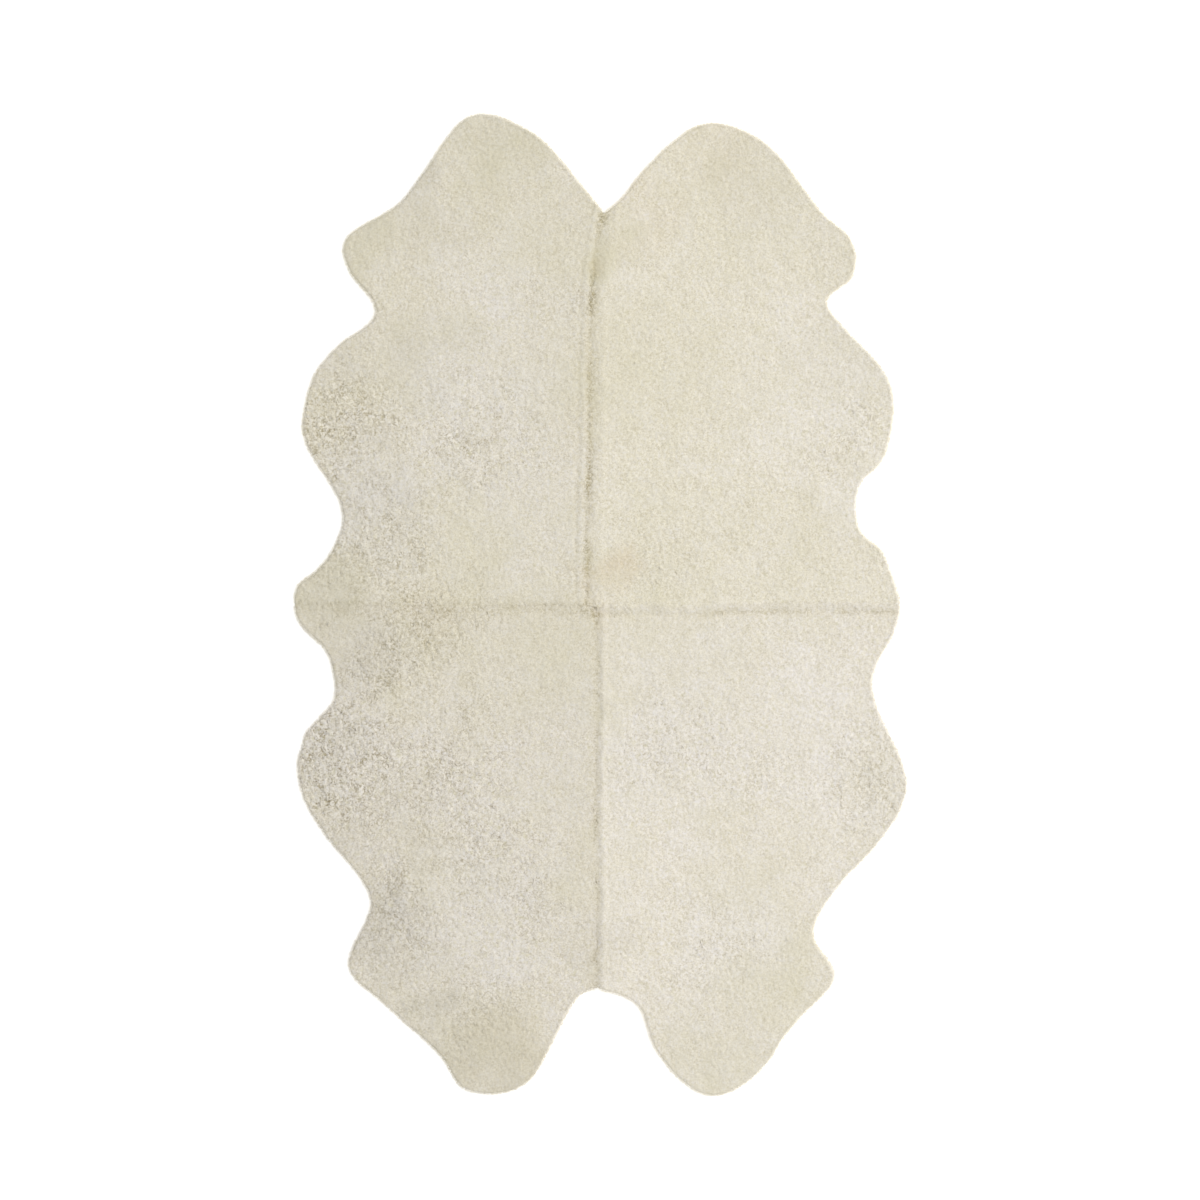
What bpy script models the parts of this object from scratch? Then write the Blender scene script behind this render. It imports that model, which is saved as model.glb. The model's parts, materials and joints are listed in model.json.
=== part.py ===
"""Sheepskin rug: four pelts sewn two by two, lying flat with the wool up.

+X is to the right and +Y towards the necks of the upper pair, with the wool on +Z.
The origin is on the floor, under the middle of the rug.
"""

import math
import random

import bpy
import numpy as np
from mathutils import Vector, geometry, noise

MM = 0.001

# Driving dimensions, in millimetres.
PILE_TOP = 26.0  # hide and wool together, from the floor
PILE_LUMP = 1.5  # rise and fall of the shorn wool
CURL_LUMP = 2.0  # added to it where the wool is curliest
LUMP_WIDTH = 55.0
RIM_WIDEST = 9.0  # height at which the wool bulges out furthest
RIM_ROUND = 24.0  # how far in the pile reaches its full height
RIM_UNDERCUT = 7.0  # how far the hide's edge lies in from the bulge
LOCK_PITCH = 22.0  # one lock of wool for each of these along the free edge
LOCK_REACH = 3.4
LOCK_NOTCH = 2.0
LOCK_LEAN = 4.0
LOCK_DROOP = 2.0
LOCK_FADE = 25.0  # locks grow from nothing over this length beside a seam
SEAM_GAP = 0.32  # between two pelts
SEAM_DIP = 11.0  # depth to which the wool parts along a seam
SEAM_REACH = 18.0
SEAM_RIDGE = 1.5  # wool pushed up beside the parting
RIDGE_AT = 22.0
RIDGE_WIDTH = 12.0

# Spacing of the corners that carry the shape, in millimetres.
CURVE_STEPS = 24  # of the smooth line between two stations
RIM_RINGS = ((6.0, 1), (15.0, 2))  # distance in from the edge, and every how many points
SEAM_ROWS = (6.0, 15.0)
SEAM_PITCH = 22.0
TOP_PITCH = 25.0
TOP_JITTER = 5.0
TOP_CLEAR = 25.0  # the even part of the top starts this far from any edge
BASE_PITCH = 110.0
FIRST_SEED = 41
SHARP_FROM = math.radians(60)

# The seam down the middle, above and below the cross seam: along, across.
CENTRE_SEAM_UPPER = ((729, 6), (669, -7), (585, -15), (492, -20), (343, -20), (195, -24), (0, -24))
CENTRE_SEAM_LOWER = ((-712, -6), (-550, -4), (-364, -6), (-178, -3), (0, -4))
# The cross seam: across, along.
CROSS_SEAM = ((-570, 5), (-337, 1), (-151, 3), (-24, 1), (-4, 0), (110, -3), (333, 5), (558, 5))

# The free edge of each pelt, from the centre seam round to the cross seam: the place on the
# skin, how far across it lies from the middle line, and how far along from the cross seam.
UPPER_LEFT = (
    ("neck root", -6, 729),
    ("neck inner shoulder", 71, 824),
    ("neck brow", 121, 874),
    ("neck tip", 218, 914),
    ("neck outer brow", 261, 896),
    ("throat", 331, 801),
    ("throat hollow", 376, 744),
    ("foreleg toe front", 465, 690),
    ("foreleg toe", 478, 666),
    ("foreleg toe back", 467, 623),
    ("armpit", 416, 543),
    ("rib front", 486, 483),
    ("rib upper", 527, 435),
    ("rib crown", 550, 362),
    ("rib lower", 547, 301),
    ("flank", 488, 202),
    ("flank hollow", 478, 161),
    ("flank back", 495, 105),
    ("hip front", 534, 58),
    ("hip corner", 562, 38),
    ("cross seam end", 570, 5),
)
UPPER_RIGHT = (
    ("neck root", 6, 729),
    ("neck inner side", 39, 755),
    ("neck inner shoulder", 82, 809),
    ("neck crown", 169, 885),
    ("neck tip", 225, 895),
    ("neck outer brow", 311, 854),
    ("throat hollow", 413, 727),
    ("foreleg toe front", 465, 680),
    ("foreleg toe", 474, 641),
    ("foreleg toe back", 467, 608),
    ("foreleg back", 441, 589),
    ("armpit", 419, 565),
    ("rib shoulder", 531, 427),
    ("rib crown", 544, 377),
    ("rib lower", 538, 312),
    ("flank front", 518, 262),
    ("flank corner", 486, 232),
    ("flank hollow", 474, 189),
    ("flank back", 484, 135),
    ("hip front", 523, 100),
    ("cross seam end", 558, 5),
)
LOWER_LEFT = (
    ("tail root", 6, 712),
    ("tail side", 37, 723),
    ("rump inner corner", 136, 885),
    ("rump tip", 192, 907),
    ("rump corner", 255, 896),
    ("shank", 300, 833),
    ("hindleg back", 402, 740),
    ("hindleg toe", 467, 673),
    ("loin hollow", 426, 559),
    ("loin front", 439, 517),
    ("rib tail", 518, 418),
    ("rib lower", 549, 364),
    ("rib crown", 562, 299),
    ("rib front", 544, 235),
    ("flank hollow", 494, 174),
    ("flank front", 508, 87),
    ("hip corner", 560, 33),
    ("cross seam end", 570, -5),
)
LOWER_RIGHT = (
    ("tail root", -6, 712),
    ("tail side", 67, 740),
    ("rump side", 104, 828),
    ("rump tip inner", 171, 898),
    ("rump tip", 207, 911),
    ("rump corner", 249, 900),
    ("shank", 309, 852),
    ("hock", 337, 807),
    ("hindleg back", 370, 766),
    ("hindleg toe", 435, 690),
    ("loin hollow", 394, 610),
    ("loin front", 430, 537),
    ("rib tail", 519, 437),
    ("rib lower", 553, 386),
    ("rib crown", 569, 336),
    ("rib upper", 560, 293),
    ("flank hollow", 506, 165),
    ("flank corner", 508, 122),
    ("hip corner", 549, 42),
    ("cross seam end", 558, -5),
)

# Where the wool is curliest: across, along, radius.
CURLY_PATCHES = (
    (-500, 350, 150),
    (-500, -310, 190),
    (480, 330, 150),
    (500, -330, 190),
    (-80, 560, 120),
    (-300, -300, 200),
    (300, -330, 220),
)

# Name, side of the middle line, end of the rug, free edge, colour of the wool.
PELTS = (
    ("pelt_upper_left", -1, 1, UPPER_LEFT, (0.700, 0.665, 0.565)),
    ("pelt_upper_right", 1, 1, UPPER_RIGHT, (0.775, 0.730, 0.610)),
    ("pelt_lower_left", -1, -1, LOWER_LEFT, (0.705, 0.672, 0.578)),
    ("pelt_lower_right", 1, -1, LOWER_RIGHT, (0.768, 0.728, 0.625)),
)


def clear_scene():
    for old in list(bpy.data.objects):
        bpy.data.objects.remove(old, do_unlink=True)


def curve_through(stations):
    """A smooth dense line through the stations: a centripetal Catmull-Rom spline."""
    before = 2 * stations[0] - stations[1]
    after = 2 * stations[-1] - stations[-2]
    points = [before, *stations, after]
    line = []
    for first, start, end, last in zip(points, points[1:], points[2:], points[3:]):
        knot_1 = math.sqrt((start - first).length)
        knot_2 = knot_1 + math.sqrt((end - start).length)
        knot_3 = knot_2 + math.sqrt((last - end).length)
        for step in range(CURVE_STEPS):
            at = knot_1 + (knot_2 - knot_1) * step / CURVE_STEPS
            a = first.lerp(start, at / knot_1)
            b = start.lerp(end, (at - knot_1) / (knot_2 - knot_1))
            c = end.lerp(last, (at - knot_2) / (knot_3 - knot_2))
            d = a.lerp(b, at / knot_2)
            e = b.lerp(c, (at - knot_1) / (knot_3 - knot_1))
            line.append(d.lerp(e, (at - knot_1) / (knot_2 - knot_1)))
    return [*line, stations[-1]]


def length_of(line):
    return sum((end - start).length for start, end in zip(line, line[1:]))


def spaced(line, count):
    """The line as this many equal steps."""
    lengths = [0.0]
    for start, end in zip(line, line[1:]):
        lengths.append(lengths[-1] + (end - start).length)
    at = np.linspace(0.0, lengths[-1], count + 1)
    xs = np.interp(at, lengths, [point.x for point in line])
    ys = np.interp(at, lengths, [point.y for point in line])
    return [Vector((float(x), float(y))) for x, y in zip(xs, ys)]


def distance_to(line, points):
    """The distance of each point from the line, in the plan."""
    start = np.array([tuple(point) for point in line[:-1]])
    run = np.array([tuple(point) for point in line[1:]]) - start
    offset = np.array([tuple(point) for point in points])[:, None] - start
    share = np.clip((offset * run).sum(2) / (run * run).sum(1), 0.0, 1.0)
    return np.linalg.norm(offset - share[..., None] * run, axis=2).min(1)


def inside(loop, points):
    """True for each point that lies inside the closed loop, in the plan."""
    x, y = np.array([tuple(point) for point in points]).T
    result = np.zeros(len(points), bool)
    for start, end in zip(loop, loop[1:] + loop[:1]):
        if start.y == end.y:
            continue
        crosses = (start.y > y) != (end.y > y)
        result ^= crosses & (x < start.x + (y - start.y) / (end.y - start.y) * (end.x - start.x))
    return result


def chosen(points, kept):
    return [point for point, keep in zip(points, kept) if keep]


def cross_seam_at(x):
    across, along = zip(*CROSS_SEAM)
    return float(np.interp(x, across, along))


def rim_of(side, end, stations):
    """The free edge in equal steps, two for each lock, with the outward direction at each."""
    turns = [Vector((side * across, end * along)) for _, across, along in stations]
    turns[0].x += side * SEAM_GAP / 2
    turns[-1].y += end * SEAM_GAP / 2
    line = curve_through(turns)
    rim = spaced(line, 2 * round(length_of(line) / LOCK_PITCH))
    outward = []
    for before, after in zip([rim[0], *rim[:-1]], [*rim[1:], rim[-1]]):
        along = (after - before).normalized()
        outward.append(Vector((-along.y, along.x)) * side * end)
    return rim, outward


def seams_of(side, end, rim):
    """The pelt's edge along the cross seam, then up the centre seam, back to the rim's start."""
    centre = CENTRE_SEAM_UPPER if end > 0 else CENTRE_SEAM_LOWER
    corner_x = centre[-1][1]
    shift_x = side * SEAM_GAP / 2
    shift_y = end * SEAM_GAP / 2
    bends = [(x, y) for x, y in CROSS_SEAM if side * (x - corner_x) > 1]
    if side > 0:
        bends.reverse()
    cross = [Vector((x, y + shift_y)) for x, y in bends[1:]]
    corner = Vector((corner_x + shift_x, cross_seam_at(corner_x) + shift_y))
    middle = [Vector((x + shift_x, y)) for y, x in reversed(centre[1:-1])]
    return [rim[-1], *cross, corner, *middle, rim[0]]


def locks_on(rim, outward, dice):
    """The rim drawn out to a lock's tip at every second point, and in to a notch between."""
    pitch = length_of(rim) / (len(rim) - 1)
    bulge = []
    for place, (point, out) in enumerate(zip(rim, outward)):
        to_seam = min(place, len(rim) - 1 - place) * pitch
        grown = min(1.0, to_seam / LOCK_FADE)
        height = RIM_WIDEST
        if place % 2:
            reach = LOCK_REACH * dice.uniform(0.6, 1.2)
            lean = LOCK_LEAN * dice.uniform(-1.0, 1.0)
            spot = point + grown * (reach * out + lean * Vector((out.y, -out.x)))
            height += LOCK_DROOP * dice.uniform(-1.0, 1.0)
        else:
            spot = point - grown * LOCK_NOTCH * dice.uniform(0.5, 1.2) * out
        bulge.append((spot, height))
    return bulge


def curliness(x, y):
    """From 0 on the smooth wool to 1 in the middle of a curly patch."""
    nearest = min(math.hypot(x - across, y - along) / radius for across, along, radius in CURLY_PATCHES)
    return max(0.0, 1.0 - nearest)


def pile_height(point, from_rim, from_seam, number):
    """Height of the wool's top from its distances to the free edge and to the nearest seam."""
    skin = float(10 * number)  # so that no two pelts have the same lumps
    wave = noise.noise(Vector((point.x / LUMP_WIDTH, point.y / LUMP_WIDTH, skin)))
    lump = 2 * wave * (PILE_LUMP + CURL_LUMP * curliness(point.x, point.y))
    parting = SEAM_DIP * max(0.0, 1.0 - from_seam / SEAM_REACH) ** 1.5
    ridge = SEAM_RIDGE * math.exp(-(((from_seam - RIDGE_AT) / RIDGE_WIDTH) ** 2))
    full = PILE_TOP + lump - parting + ridge
    rounding = max(0.0, 1.0 - from_rim / RIM_ROUND)
    return RIM_WIDEST + (full - RIM_WIDEST) * math.sqrt(1.0 - rounding * rounding)


def rim_rings(rim, outward, seams):
    """Points in rings just inside the free edge."""
    rings = []
    for inset, every in RIM_RINGS:
        ring = [point - inset * out for point, out in zip(rim, outward)][every::every]
        rings += chosen(ring, distance_to(rim, ring) > 0.93 * inset)
    return chosen(rings, distance_to(seams, rings) > 0.7 * SEAM_ROWS[0])


def seam_rows(rim, seams):
    """Points in rows beside the seams, between the ends of the rings."""
    rows = []
    for inset in SEAM_ROWS:
        for start, end in zip(seams, seams[1:]):
            run = end - start
            inward = Vector((-run.y, run.x)).normalized()
            steps = max(1, round(run.length / SEAM_PITCH))
            rows += [start + run * (step + 0.5) / steps + inset * inward for step in range(steps)]
    rows = chosen(rows, distance_to(rim, rows) > 1.4 * RIM_RINGS[-1][0])
    return chosen(rows, distance_to(seams, rows) > 0.9 * SEAM_ROWS[0])


def even_field(loop, rim, seams, dice):
    """Points in staggered rows over the rest of the top, each moved a little at random."""
    low_x = min(point.x for point in loop)
    low_y = min(point.y for point in loop)
    row_step = TOP_PITCH * math.sqrt(3) / 2
    places = int((max(point.x for point in loop) - low_x) / TOP_PITCH) + 1
    rows = int((max(point.y for point in loop) - low_y) / row_step) + 1
    field = []
    for row in range(rows):
        for place in range(places):
            x = low_x + (place + 0.5 * (row % 2)) * TOP_PITCH
            y = low_y + row * row_step
            moved = Vector((dice.uniform(-1, 1), dice.uniform(-1, 1))) * TOP_JITTER
            field.append(Vector((x, y)) + moved)
    clear = (distance_to(rim, field) > TOP_CLEAR) & (distance_to(seams, field) > TOP_CLEAR)
    return chosen(field, inside(loop, field) & clear)


def base_field(loop):
    """Sparse points for the flat underside, clear of its edge."""
    across = np.arange(-6, 7) * BASE_PITCH
    along = np.arange(-9, 10) * BASE_PITCH
    field = [Vector((float(x), float(y))) for x in across for y in along]
    clear = distance_to([*loop, loop[0]], field) > BASE_PITCH / 3
    return chosen(field, inside(loop, field) & clear)


def triangles_in(loop, points):
    """The triangles that fill the loop, through every one of the points."""
    corners = loop + points
    made = geometry.delaunay_2d_cdt(corners, [], [list(range(len(loop)))], 1, 1e-6)
    if len(made[0]) != len(corners):
        raise ValueError("two points of the outline coincide or cross")
    return [tuple(face) for face in made[2]]


def slid_along(line, length):
    """The point this far from the start of a line, on its first run."""
    run = line[1] - line[0]
    return line[0] + run.normalized() * min(length, 0.8 * run.length)


def seam_corners(seams):
    """The seam edges in short steps, without their two ends."""
    corners = []
    for start, end in zip(seams, seams[1:]):
        steps = max(1, round((end - start).length / SEAM_PITCH))
        corners += [start.lerp(end, step / steps) for step in range(steps)]
    return corners[1:]


def pelt_mesh(number, side, end, stations):
    """One closed skin: flat hide below, bulging rim with locks, lumpy shorn wool on top."""
    dice = random.Random(FIRST_SEED + number)
    rim, outward = rim_of(side, end, stations)
    bulge = locks_on(rim, outward, dice)
    seams = seams_of(side, end, rim)
    if side * end > 0:  # these run clockwise, and are turned to have the pelt on their left
        rim, outward, bulge, seams = [line[::-1] for line in (rim, outward, bulge, seams)]
    stitched = seam_corners(seams)

    top_loop = [spot for spot, _ in bulge] + stitched
    top_field = rim_rings(rim, outward, seams) + seam_rows(rim, seams)
    top_field = chosen(top_field, inside(top_loop, top_field))
    top_field += even_field(top_loop, rim, seams, dice)
    risen = stitched + top_field
    heights = [height for _, height in bulge]
    for point, from_rim, from_seam in zip(risen, distance_to(rim, risen), distance_to(seams, risen)):
        heights.append(pile_height(point, from_rim, from_seam, number))

    base_loop = [point - RIM_UNDERCUT * out for point, out in zip(rim, outward)]
    base_loop[0] = slid_along(seams[::-1], RIM_UNDERCUT)
    base_loop[-1] = slid_along(seams, RIM_UNDERCUT)
    base_loop += stitched
    flat_field = base_field(base_loop)

    verts = [(point.x, point.y, height) for point, height in zip(top_loop + top_field, heights)]
    below = len(verts)
    verts += [(point.x, point.y, 0.0) for point in base_loop + flat_field]
    faces = triangles_in(top_loop, top_field)
    faces += [tuple(below + i for i in face[::-1]) for face in triangles_in(base_loop, flat_field)]
    for i in range(len(top_loop)):
        j = (i + 1) % len(top_loop)
        faces += [(i, below + i, below + j), (i, below + j, j)]
    mesh = bpy.data.meshes.new("pelt")
    mesh.from_pydata((np.array(verts) * MM).tolist(), [], faces)
    mesh.shade_smooth()
    mesh.set_sharp_from_angle(angle=SHARP_FROM)
    return mesh


def wool(name, colour):
    """Short matt wool in the pelt's own tone."""
    material = bpy.data.materials.new(name)
    material.use_nodes = True
    shader = material.node_tree.nodes["Principled BSDF"]
    shader.inputs["Base Color"].default_value = (*colour, 1.0)
    shader.inputs["Roughness"].default_value = 0.95
    shader.inputs["Metallic"].default_value = 0.0
    return material


def build_pelt(number, name, side, end, stations, colour):
    mesh = pelt_mesh(number, side, end, stations)
    mesh.name = name
    mesh.materials.append(wool(name.replace("pelt", "wool"), colour))
    pelt = bpy.data.objects.new(name, mesh)
    bpy.context.scene.collection.objects.link(pelt)
    return pelt


def centre_on_origin(pelts):
    """Moves the finished rug so that the origin is under the middle of its box."""
    corners = np.array([tuple(vertex.co) for pelt in pelts for vertex in pelt.data.vertices])
    middle = (corners.min(0) + corners.max(0)) / 2
    for pelt in pelts:
        for vertex in pelt.data.vertices:
            vertex.co.x -= middle[0]
            vertex.co.y -= middle[1]


clear_scene()
centre_on_origin([build_pelt(number, *pelt) for number, pelt in enumerate(PELTS)])
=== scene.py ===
import json
import math
import random
import bmesh
import bpy
import numpy as np
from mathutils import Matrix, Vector, geometry, kdtree, noise

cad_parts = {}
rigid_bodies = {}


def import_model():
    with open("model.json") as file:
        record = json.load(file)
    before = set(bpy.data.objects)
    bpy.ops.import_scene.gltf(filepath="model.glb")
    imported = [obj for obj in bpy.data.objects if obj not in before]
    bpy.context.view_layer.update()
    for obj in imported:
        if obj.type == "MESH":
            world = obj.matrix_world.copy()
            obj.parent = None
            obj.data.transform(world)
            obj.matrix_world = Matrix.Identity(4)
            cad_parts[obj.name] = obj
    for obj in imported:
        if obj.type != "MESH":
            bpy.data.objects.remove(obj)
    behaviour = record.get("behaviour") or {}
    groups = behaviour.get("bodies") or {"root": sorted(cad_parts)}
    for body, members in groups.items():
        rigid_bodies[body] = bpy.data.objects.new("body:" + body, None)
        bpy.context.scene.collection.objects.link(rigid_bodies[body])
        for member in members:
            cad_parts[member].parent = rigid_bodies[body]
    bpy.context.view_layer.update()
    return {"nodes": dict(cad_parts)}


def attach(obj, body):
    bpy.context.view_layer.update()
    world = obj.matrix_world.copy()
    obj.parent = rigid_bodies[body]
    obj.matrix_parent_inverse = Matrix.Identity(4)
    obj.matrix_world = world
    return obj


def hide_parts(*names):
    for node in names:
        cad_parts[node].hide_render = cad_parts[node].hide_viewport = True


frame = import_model()
mm = 0.001
noise.seed_set(4)  # or the vector noises differ from run to run
pelts = ("upper_left", "upper_right", "lower_left", "lower_right")


def isSocket(value):
    return isinstance(value, bpy.types.NodeSocket)


# Adds a node to the tree, or to the tree of a socket, and gives its outputs.
def addNode(tree, kind, inputs=None, **settings):
    if isSocket(tree):
        tree = tree.id_data
    made = tree.nodes.new(kind)
    for name, value in settings.items():
        setattr(made, name, value)
    for name, value in (inputs or {}).items():
        if isSocket(value):
            tree.links.new(value, made.inputs[name])
        else:
            made.inputs[name].default_value = value
    return made.outputs


def sums(operation, *values):
    found = next(value for value in values if isSocket(value))
    return addNode(found, "ShaderNodeMath", dict(enumerate(values)), operation=operation)[0]


def times(first, second):
    return sums("MULTIPLY", first, second)


def minus(first, second):
    return sums("SUBTRACT", first, second)


def timesPlus(first, second, added):
    return sums("MULTIPLY_ADD", first, second, added)


def vectors(operation, vector, inputs):
    return addNode(vector, "ShaderNodeVectorMath", {0: vector, **inputs}, operation=operation)[0]


def noiseAt(place, scale, detail=1.0, roughness=0.5, shift=None):
    if shift:
        place = vectors("ADD", place, {1: shift})
    inputs = {"Vector": place, "Scale": scale, "Detail": detail, "Roughness": roughness}
    return addNode(place, "ShaderNodeTexNoise", inputs)[0]


# Distance from the crevices between curls, in curl widths. A noise bends them by the reach.
def creviceAt(place, scale, reach, shift):
    moved = vectors("ADD", place, {1: (shift, 0.7 * shift, 0.3 * shift)})
    made = addNode(place, "ShaderNodeTexNoise", {"Vector": moved, "Scale": 62.0, "Detail": 1.0})
    away = vectors("SUBTRACT", made["Color"], {1: (0.5, 0.5, 0.5)})
    bent = vectors("ADD", moved, {1: vectors("SCALE", away, {"Scale": reach})})
    settings = {"feature": "DISTANCE_TO_EDGE", "voronoi_dimensions": "2D"}
    made = addNode(place, "ShaderNodeTexVoronoi", {"Vector": bent, "Scale": scale}, **settings)
    return made["Distance"]


# Low..high become toLow..toHigh, and no more.
def ramp(value, low, high, toLow=0.0, toHigh=1.0):
    inputs = {"Value": value, "From Min": low, "From Max": high, "To Min": toLow, "To Max": toHigh}
    return addNode(value, "ShaderNodeMapRange", inputs)[0]


def mixed(share, first, second):
    inputs = {0: share, 6: first, 7: second}
    for socket in (6, 7):
        if isinstance(inputs[socket], tuple):
            inputs[socket] = (*inputs[socket], 1.0)
    return addNode(share, "ShaderNodeMix", inputs, data_type="RGBA")[2]


def newMaterial(name, roughness, specular, sheen=0.0):
    material = bpy.data.materials.new(name)
    material.use_nodes = True
    shader = material.node_tree.nodes["Principled BSDF"]
    shader.inputs["Roughness"].default_value = roughness
    shader.inputs["Specular IOR Level"].default_value = specular
    shader.inputs["Sheen Weight"].default_value = sheen
    return material, material.node_tree, shader


def addBump(tree, shader, height, strength, distance):
    bump = addNode(tree, "ShaderNodeBump", {"Height": height, "Strength": strength, "Distance": distance})
    tree.links.new(bump[0], shader.inputs["Normal"])


def newGroup(name, sizes):
    group = bpy.data.node_groups.new(name, "GeometryNodeTree")
    group.interface.new_socket("Geometry", in_out="INPUT", socket_type="NodeSocketGeometry")
    group.interface.new_socket("Geometry", in_out="OUTPUT", socket_type="NodeSocketGeometry")
    for label, value in sizes.items():
        socket = group.interface.new_socket(label, in_out="INPUT", socket_type="NodeSocketFloat")
        socket.default_value = value
    return group, group.nodes.new("NodeGroupInput").outputs, group.nodes.new("NodeGroupOutput")


def readValue(tree, name):
    return addNode(tree, "GeometryNodeInputNamedAttribute", {"Name": name}, data_type="FLOAT")[0]


def storeValue(tree, geometryIn, name, value, kind="FLOAT", domain="POINT"):
    inputs = {"Geometry": geometryIn, "Name": name, "Value": value}
    settings = {"data_type": kind, "domain": domain}
    return addNode(tree, "GeometryNodeStoreNamedAttribute", inputs, **settings)[0]


# Runs the group on the object with these sizes, and keeps the result as its plain mesh.
def applyGroup(obj, group, sizes):
    modifier = obj.modifiers.new(group.name, "NODES")
    modifier.node_group = group
    for item in group.interface.items_tree:
        if item.item_type == "SOCKET" and item.in_out == "INPUT" and item.name in sizes:
            modifier[item.identifier] = sizes[item.name]
    graph = bpy.context.evaluated_depsgraph_get()
    ready = obj.evaluated_get(graph)
    made = bpy.data.meshes.new_from_object(ready, preserve_all_data_layers=True, depsgraph=graph)
    obj.modifiers.clear()
    obj.data = made
    made.name = obj.name


curlSizes = {  # read by the fleece's node group and by its material
    "Lump Height": 4.0 * mm,
    "Lump Width": 42.0 * mm,
    "Curl Height": 3.6 * mm,
    "Curl Width": 11.5 * mm,
    "Twist Height": 2.2 * mm,
    "Twist Width": 7.0 * mm,
    "Ridge Height": 1.5 * mm,
    "Ridge Width": 10.5 * mm,
    "Nap Height": 3.0 * mm,
    "Nap Width": 3.8 * mm,
}
curlBend = 0.030  # metres that a noise bends the crevices by
twistBend = 0.022
twistShift = 3.1

woolColours = {
    "upper_left": {
        "curl": (0.868, 0.827, 0.726), "deepShade": (0.325, 0.266, 0.152), "cool": (0.765, 0.742, 0.710),
    },
    "upper_right": {
        "curl": (0.921, 0.879, 0.766), "deepShade": (0.385, 0.322, 0.190), "cool": (0.825, 0.795, 0.752),
    },
    "lower_left": {
        "curl": (0.868, 0.825, 0.731), "deepShade": (0.306, 0.249, 0.146), "cool": (0.755, 0.730, 0.705),
    },
    "lower_right": {
        "curl": (0.918, 0.875, 0.782), "deepShade": (0.400, 0.338, 0.212), "cool": (0.835, 0.805, 0.780),
    },
}
woolLook = {
    "olive": (0.63, 0.592, 0.41),
    "rust": (0.60, 0.43, 0.25),
    # colour of the painted shade
    "shade": (0.450, 0.425, 0.352),
    "sheen": 0.06,
    "bumpDepth": 0.8 * mm,
    "crimps": ((70.0, 26.0, 0.0), (105.0, 19.0, 3.0)),  # scale, crimps in a wave, shift
    "strands": (260.0, 60.0),  # scale, strands in a wave
}
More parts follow.
